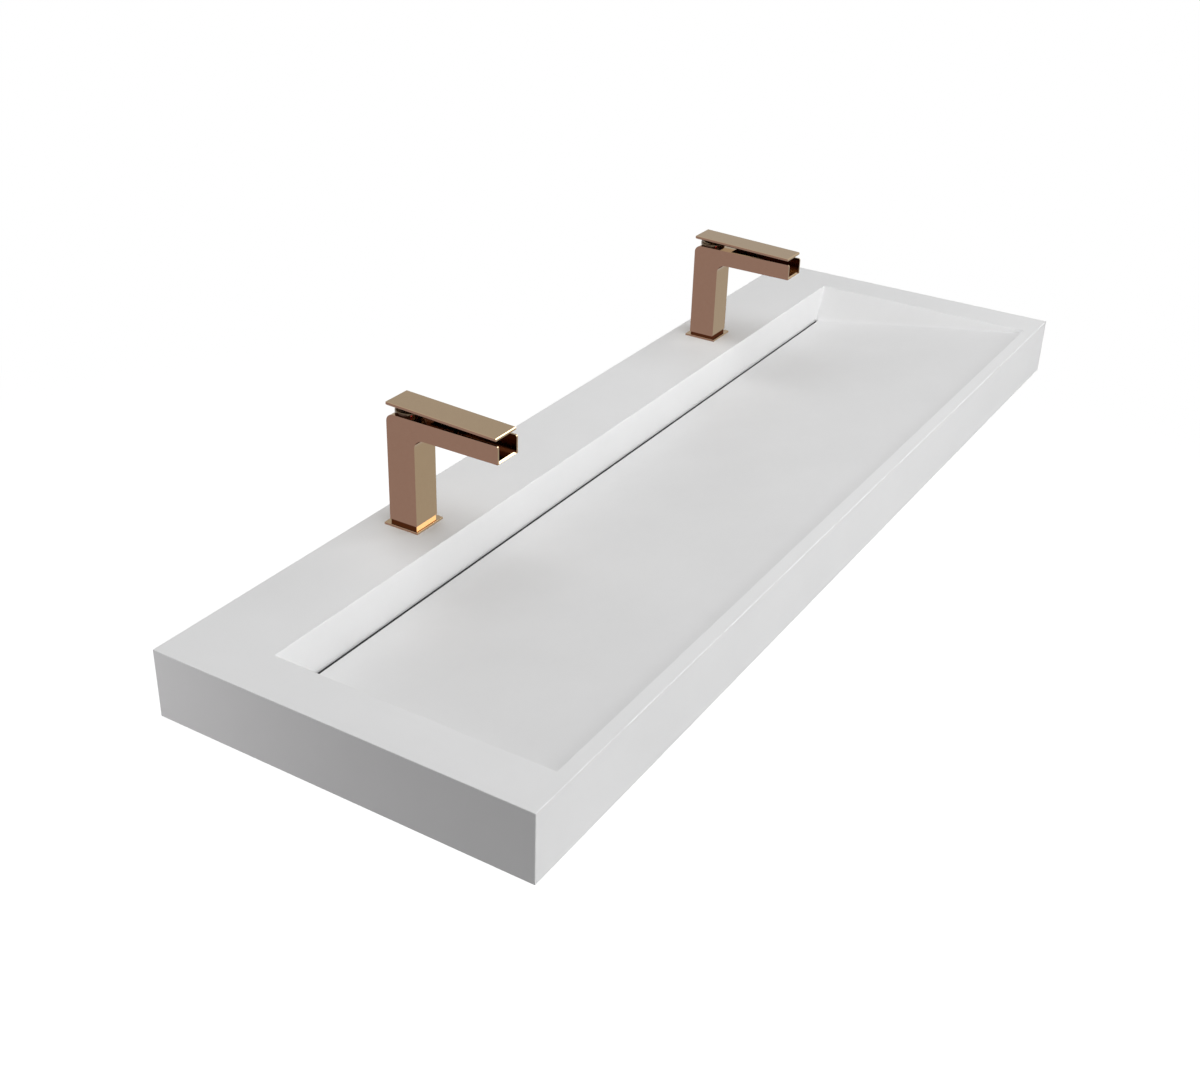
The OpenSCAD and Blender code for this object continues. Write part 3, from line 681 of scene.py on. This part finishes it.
def make_basin():
    """The basin in one piece: rounded edges, slot, holes and hollow underside."""
    basin = new_object("basin_cast", cage_block())
    rounded = basin.modifiers.new("rounded", "SUBSURF")
    rounded.levels = rounded.render_levels = ROUND_LEVELS
    baked(basin)

    inner = HALF_L - WALL_T
    inside = [
        (-inner, -WALL_T),
        (inner, -WALL_T),
        (inner, -DEPTH + WALL_T),
        (-inner, -DEPTH + WALL_T),
    ]
    hollow = new_object(
        "under_cutter", prism(inside, -HEIGHT - UNDER_CUT, -WALL_T, 2)
    )
    carve(hollow, new_object("bowl_cutter", bowl_under()))
    carve(basin, hollow)
    opening = [
        (-SLOT_BACK, SLOT_CUT_TOP),
        (-SLOT_FRONT, SLOT_CUT_TOP),
        (-SLOT_FRONT, SLOT_CUT_FOOT),
        (-SLOT_BACK, SLOT_CUT_FOOT),
    ]
    carve(basin, new_object("slot_cutter", prism(opening, -SLOT_X, SLOT_X, 0)))
    for side in (-1, 1):
        outline = disc_points(side * TAP_X, TAP_Y, TAP_HOLE_R)
        hole = prism(outline, HOLE_CUT_LOW, HOLE_CUT_HIGH, 2)
        carve(basin, new_object("hole_cutter", hole))
    for x in BOLT_X:
        outline = disc_points(x, -DECK_Z, BOLT_R, BOLT_SIDES)
        hole = prism(outline, HOLE_CUT_LOW, HOLE_CUT_HIGH, 1)
        carve(basin, new_object("hole_cutter", hole))
    close_slivers(basin)
    smooth_by_angle(basin, SKIN_SHARP)
    dress(basin, MATERIALS["solid_surface"])
    # The slot's cut faces get painted shade, a dark colour standing in for the slot's
    # shadow
    basin.data.materials.append(slot_painted_shade())
    paint_slot_shade(basin.data)
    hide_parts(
        "tap_deck",
        "left_rim",
        "right_rim",
        "back_skirt",
        "front_skirt",
        "left_skirt",
        "right_skirt",
        "bowl_back",
        "bowl_ramp",
        "left_bowl_end",
        "right_bowl_end",
    )
    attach(basin, "basin")
    basin.visible_glossy = False


def crisp(thing, width):
    """Merges the flat faces of a carried-over node and rounds its edges a little."""
    weld = thing.modifiers.new("weld", "WELD")
    weld.merge_threshold = CRISP_WELD
    flat = thing.modifiers.new("flat", "DECIMATE")
    flat.decimate_type = "DISSOLVE"
    flat.angle_limit = radians(CRISP_FLAT)
    bevel = thing.modifiers.new("bevel", "BEVEL")
    bevel.width = width / 1000
    bevel.segments = CRISP_SEGMENTS
    bevel.limit_method = "ANGLE"
    bevel.angle_limit = radians(CRISP_ANGLE)
    bevel.use_clamp_overlap = True
    even = thing.modifiers.new("even", "WEIGHTED_NORMAL")
    even.mode = "FACE_AREA"
    even.weight = NORMAL_WEIGHT
    for face in thing.data.polygons:
        face.use_smooth = True


def index_dot(name, x, angle, material):
    """A domed enamel dot let into the side of a tap's dome collar."""
    mesh = bmesh.new()
    out = Vector((cos(angle), sin(angle), 0.0))
    across = Vector((-sin(angle), cos(angle), 0.0))
    middle = Vector((x, TAP_Y, COLUMN_H + DOT_H))
    rings = []
    for share, rise in DOT_PROFILE:
        ring = []
        for k in range(DOT_SIDES):
            turn = 2 * pi * k / DOT_SIDES
            side = across * (cos(turn) * DOT_R * share)
            up = Vector((0.0, 0.0, sin(turn) * DOT_R * share))
            reach = (COLLAR_R**2 - side.length_squared) ** 0.5
            ring.append(mesh.verts.new(middle + out * (reach + rise) + side + up))
        rings.append(ring)
    tip = mesh.verts.new(middle + out * (COLLAR_R + DOT_RISE))
    foot = mesh.verts.new(middle + out * (COLLAR_R + DOT_PROFILE[0][1]))
    for low, high in zip(rings[:-1], rings[1:]):
        for k in range(DOT_SIDES):
            m = (k + 1) % DOT_SIDES
            mesh.faces.new((low[k], low[m], high[m], high[k]))
    for k in range(DOT_SIDES):
        m = (k + 1) % DOT_SIDES
        mesh.faces.new((rings[-1][k], rings[-1][m], tip))
        mesh.faces.new((rings[0][m], rings[0][k], foot))
    bmesh.ops.recalc_face_normals(mesh, faces=mesh.faces[:])
    dot = new_object(name, mesh)
    dress(dot, material)
    for face in dot.data.polygons:
        face.use_smooth = True
    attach(dot, "basin")


def make_dots():
    """Hot and cold dots on both collars, either side of the spout."""
    hot = enamel("hot_enamel", (0.42, 0.02, 0.014), (0.52, 0.04, 0.024))
    cold = enamel("cold_enamel", (0.014, 0.06, 0.34), (0.024, 0.09, 0.44))
    for side, x in (("left", -TAP_X), ("right", TAP_X)):
        index_dot(f"{side}_hot_dot", x, radians(HOT_ANGLE), hot)
        index_dot(f"{side}_cold_dot", x, radians(COLD_ANGLE), cold)


def dress_nodes():
    """Gives every carried-over node its material, and the visible ones rounded edges."""
    for part in frame["record"]["subparts"]:
        node, slot = part["node"], part["material_slot"]
        thing = NODES[node]
        dress(thing, MATERIALS[slot])
        thing.visible_glossy = node.startswith(("left_", "right_"))
        name = node.removeprefix("left_").removeprefix("right_")
        # The dome collar gets painted shade, a dark colour standing in for the dark
        # reflections in the gap under the lever
        if name == "dome_collar":
            dress(thing, MATERIALS["collar_painted_shade"])
        if name in CRISP:
            crisp(thing, CRISP[name])


def mirrored_only(name, colour):
    """A material that glows plainly for mirrored rays, and is clear for the rest."""
    material = bpy.data.materials.new(name)
    material.use_nodes = True
    tree = material.node_tree
    tree.nodes.clear()
    seen = tree.nodes.new("ShaderNodeLightPath").outputs["Is Glossy Ray"]
    glow = tree.nodes.new("ShaderNodeEmission")
    tree.links.new(mirrored_colour(tree, colour), glow.inputs["Color"])
    clear = tree.nodes.new("ShaderNodeBsdfTransparent")
    mix = tree.nodes.new("ShaderNodeMixShader")
    out = tree.nodes.new("ShaderNodeOutputMaterial")
    tree.links.new(seen, mix.inputs[0])
    tree.links.new(clear.outputs[0], mix.inputs[1])
    tree.links.new(glow.outputs[0], mix.inputs[2])
    tree.links.new(mix.outputs[0], out.inputs["Surface"])
    return material


def mirrored_colour(tree, colour):
    """A colour in full in a first reflection, dim and warm in deeper ones."""
    path = tree.nodes.new("ShaderNodeLightPath")
    again = tree.nodes.new("ShaderNodeMath")
    again.operation = "GREATER_THAN"
    again.inputs[1].default_value = DEEP_BOUNCE
    tree.links.new(path.outputs["Glossy Depth"], again.inputs[0])
    mix = tree.nodes.new("ShaderNodeMixRGB")
    mix.inputs["Color1"].default_value = (*colour, 1.0)
    deep = [level * tint for level, tint in zip(colour, DEEP_TINT)]
    mix.inputs["Color2"].default_value = (*deep, 1.0)
    tree.links.new(again.outputs[0], mix.inputs["Fac"])
    return mix.outputs["Color"]


def seen_directly(tree):
    """True for the rays of the camera, of mirrors and of glass."""
    path = tree.nodes.new("ShaderNodeLightPath")
    seen = path.outputs["Is Camera Ray"]
    for kind in ("Is Glossy Ray", "Is Transmission Ray"):
        joined = tree.nodes.new("ShaderNodeMath")
        joined.operation = "MAXIMUM"
        tree.links.new(seen, joined.inputs[0])
        tree.links.new(path.outputs[kind], joined.inputs[1])
        seen = joined.outputs[0]
    return seen


def floor_material():
    """Pale floor, white where it is seen, faintly shadowed, and clear from underneath."""
    material = bpy.data.materials.new("floor")
    material.use_nodes = True
    tree = material.node_tree
    tree.nodes.clear()
    seen = seen_directly(tree)
    pale = tree.nodes.new("ShaderNodeBsdfDiffuse")
    pale.inputs["Color"].default_value = (FLOOR_PALE, FLOOR_PALE, FLOOR_PALE, 1.0)
    shadowed = tree.nodes.new("ShaderNodeBsdfDiffuse")
    shadowed.inputs["Color"].default_value = (FLOOR_SEEN, FLOOR_SEEN, FLOOR_SEEN, 1.0)
    lift = tree.nodes.new("ShaderNodeEmission")
    lift.inputs["Strength"].default_value = FLOOR_LIFT
    near = tree.nodes.new("ShaderNodeAddShader")
    tree.links.new(shadowed.outputs[0], near.inputs[0])
    tree.links.new(lift.outputs[0], near.inputs[1])
    far = tree.nodes.new("ShaderNodeEmission")
    place = tree.nodes.new("ShaderNodeTexCoord")
    distance = tree.nodes.new("ShaderNodeVectorMath")
    distance.operation = "DISTANCE"
    distance.inputs[1].default_value = (0.0, 0.0, FLOOR_Z)
    fade = tree.nodes.new("ShaderNodeMapRange")
    fade.interpolation_type = "SMOOTHSTEP"
    fade.inputs["From Min"].default_value = FADE_START
    fade.inputs["From Max"].default_value = FADE_END
    tree.links.new(place.outputs["Object"], distance.inputs[0])
    tree.links.new(distance.outputs["Value"], fade.inputs["Value"])
    ground = tree.nodes.new("ShaderNodeMixShader")
    tree.links.new(fade.outputs["Result"], ground.inputs[0])
    tree.links.new(near.outputs[0], ground.inputs[1])
    tree.links.new(far.outputs[0], ground.inputs[2])
    mix = tree.nodes.new("ShaderNodeMixShader")
    out = tree.nodes.new("ShaderNodeOutputMaterial")
    tree.links.new(seen, mix.inputs[0])
    tree.links.new(pale.outputs[0], mix.inputs[1])
    tree.links.new(ground.outputs[0], mix.inputs[2])
    clear = tree.nodes.new("ShaderNodeBsdfTransparent")
    side = tree.nodes.new("ShaderNodeMixShader")
    underneath = tree.nodes.new("ShaderNodeNewGeometry").outputs["Backfacing"]
    tree.links.new(underneath, side.inputs[0])
    tree.links.new(mix.outputs[0], side.inputs[1])
    tree.links.new(clear.outputs[0], side.inputs[2])
    tree.links.new(side.outputs[0], out.inputs["Surface"])
    return material


def sheet(name, corners, material):
    """A flat four-cornered sheet of the stage."""
    mesh = bmesh.new()
    mesh.faces.new([mesh.verts.new(corner) for corner in corners])
    bmesh.ops.subdivide_edges(
        mesh, edges=mesh.edges[:], cuts=SHEET_CUTS, use_grid_fill=True
    )
    data = bpy.data.meshes.new(name)
    mesh.to_mesh(data)
    mesh.free()
    thing = bpy.data.objects.new(name, data)
    SCENE.collection.objects.link(thing)
    thing.data.materials.append(material)


def card(name, centre, facing, width, height, colour):
    """A card that only mirrors see, square to the direction that it faces."""
    facing = Vector(facing).normalized()
    across = facing.cross(Vector((0, 0, 1))).normalized() * width / 2
    up = across.cross(facing).normalized() * height / 2
    centre = Vector(centre)
    corners = [
        centre - across - up,
        centre + across - up,
        centre + across + up,
        centre - across + up,
    ]
    sheet(name, corners, mirrored_only(name, colour))


def lamp(name, place, target, size, power, mirrored):
    """A soft lamp, aimed at a point, which shows in mirrors only where it is asked to."""
    data = bpy.data.lights.new(name, "AREA")
    data.shape = "RECTANGLE"
    data.size, data.size_y = size
    data.energy = power
    thing = bpy.data.objects.new(name, data)
    thing.location = place
    aim = Vector(target) - Vector(place)
    thing.rotation_euler = aim.to_track_quat("-Z", "Y").to_euler()
    thing.visible_camera = False
    thing.visible_glossy = mirrored
    SCENE.collection.objects.link(thing)


def dome_level(tree):
    """Brightness of the dome by direction."""
    coords = tree.nodes.new("ShaderNodeTexCoord")
    total = None
    for direction, narrow, strength in LOBES:
        toward = tree.nodes.new("ShaderNodeVectorMath")
        toward.operation = "DOT_PRODUCT"
        toward.inputs[1].default_value = direction
        tree.links.new(coords.outputs["Generated"], toward.inputs[0])
        value = toward.outputs["Value"]
        steps = (("MAXIMUM", 0.0), ("POWER", narrow), ("MULTIPLY", strength))
        for kind, amount in steps:
            step = tree.nodes.new("ShaderNodeMath")
            step.operation = kind
            step.inputs[1].default_value = amount
            tree.links.new(value, step.inputs[0])
            value = step.outputs[0]
        summed = tree.nodes.new("ShaderNodeMath")
        tree.links.new(value, summed.inputs[0])
        if total is None:
            summed.inputs[1].default_value = DOME_BASE
        else:
            tree.links.new(total, summed.inputs[1])
        total = summed.outputs[0]
    return total


def make_world():
    """White where it is seen or mirrored; for the rest a soft dome of a few broad lobes."""
    world = bpy.data.worlds.new("studio")
    SCENE.world = world
    world.use_nodes = True
    tree = world.node_tree
    tree.nodes.clear()
    white = tree.nodes.new("ShaderNodeBackground")
    tree.links.new(mirrored_colour(tree, WHITE), white.inputs["Color"])
    dome = tree.nodes.new("ShaderNodeBackground")
    dome.inputs["Color"].default_value = (*WHITE, 1.0)
    tree.links.new(dome_level(tree), dome.inputs["Strength"])
    mix = tree.nodes.new("ShaderNodeMixShader")
    out = tree.nodes.new("ShaderNodeOutputWorld")
    tree.links.new(seen_directly(tree), mix.inputs[0])
    tree.links.new(dome.outputs[0], mix.inputs[1])
    tree.links.new(white.outputs[0], mix.inputs[2])
    tree.links.new(mix.outputs[0], out.inputs["Surface"])


def make_stage():
    """The floor, the cards and the lamps."""
    signs = ((-1, -1), (1, -1), (1, 1), (-1, 1))
    ground = [(FLOOR_HALF * x, FLOOR_HALF * y, FLOOR_Z) for x, y in signs]
    sheet("floor", ground, floor_material())
    for values in CARDS:
        card(*values)
    for values in LAMPS:
        lamp(*values)


def make_camera():
    """The camera at the photograph's angle."""
    data = bpy.data.cameras.new("photo_camera")
    data.sensor_fit = "HORIZONTAL"
    data.sensor_width = SENSOR_W
    data.lens = LENS
    data.clip_start, data.clip_end = CLIP_START, CLIP_END
    camera = bpy.data.objects.new("photo_camera", data)
    camera.location = CAMERA_PLACE
    camera.rotation_euler = [radians(turn) for turn in CAMERA_TURN]
    SCENE.collection.objects.link(camera)
    SCENE.camera = camera


SCENE.view_settings.view_transform = "Standard"
make_camera()
make_world()
make_stage()
dress_nodes()
make_basin()
make_dots()
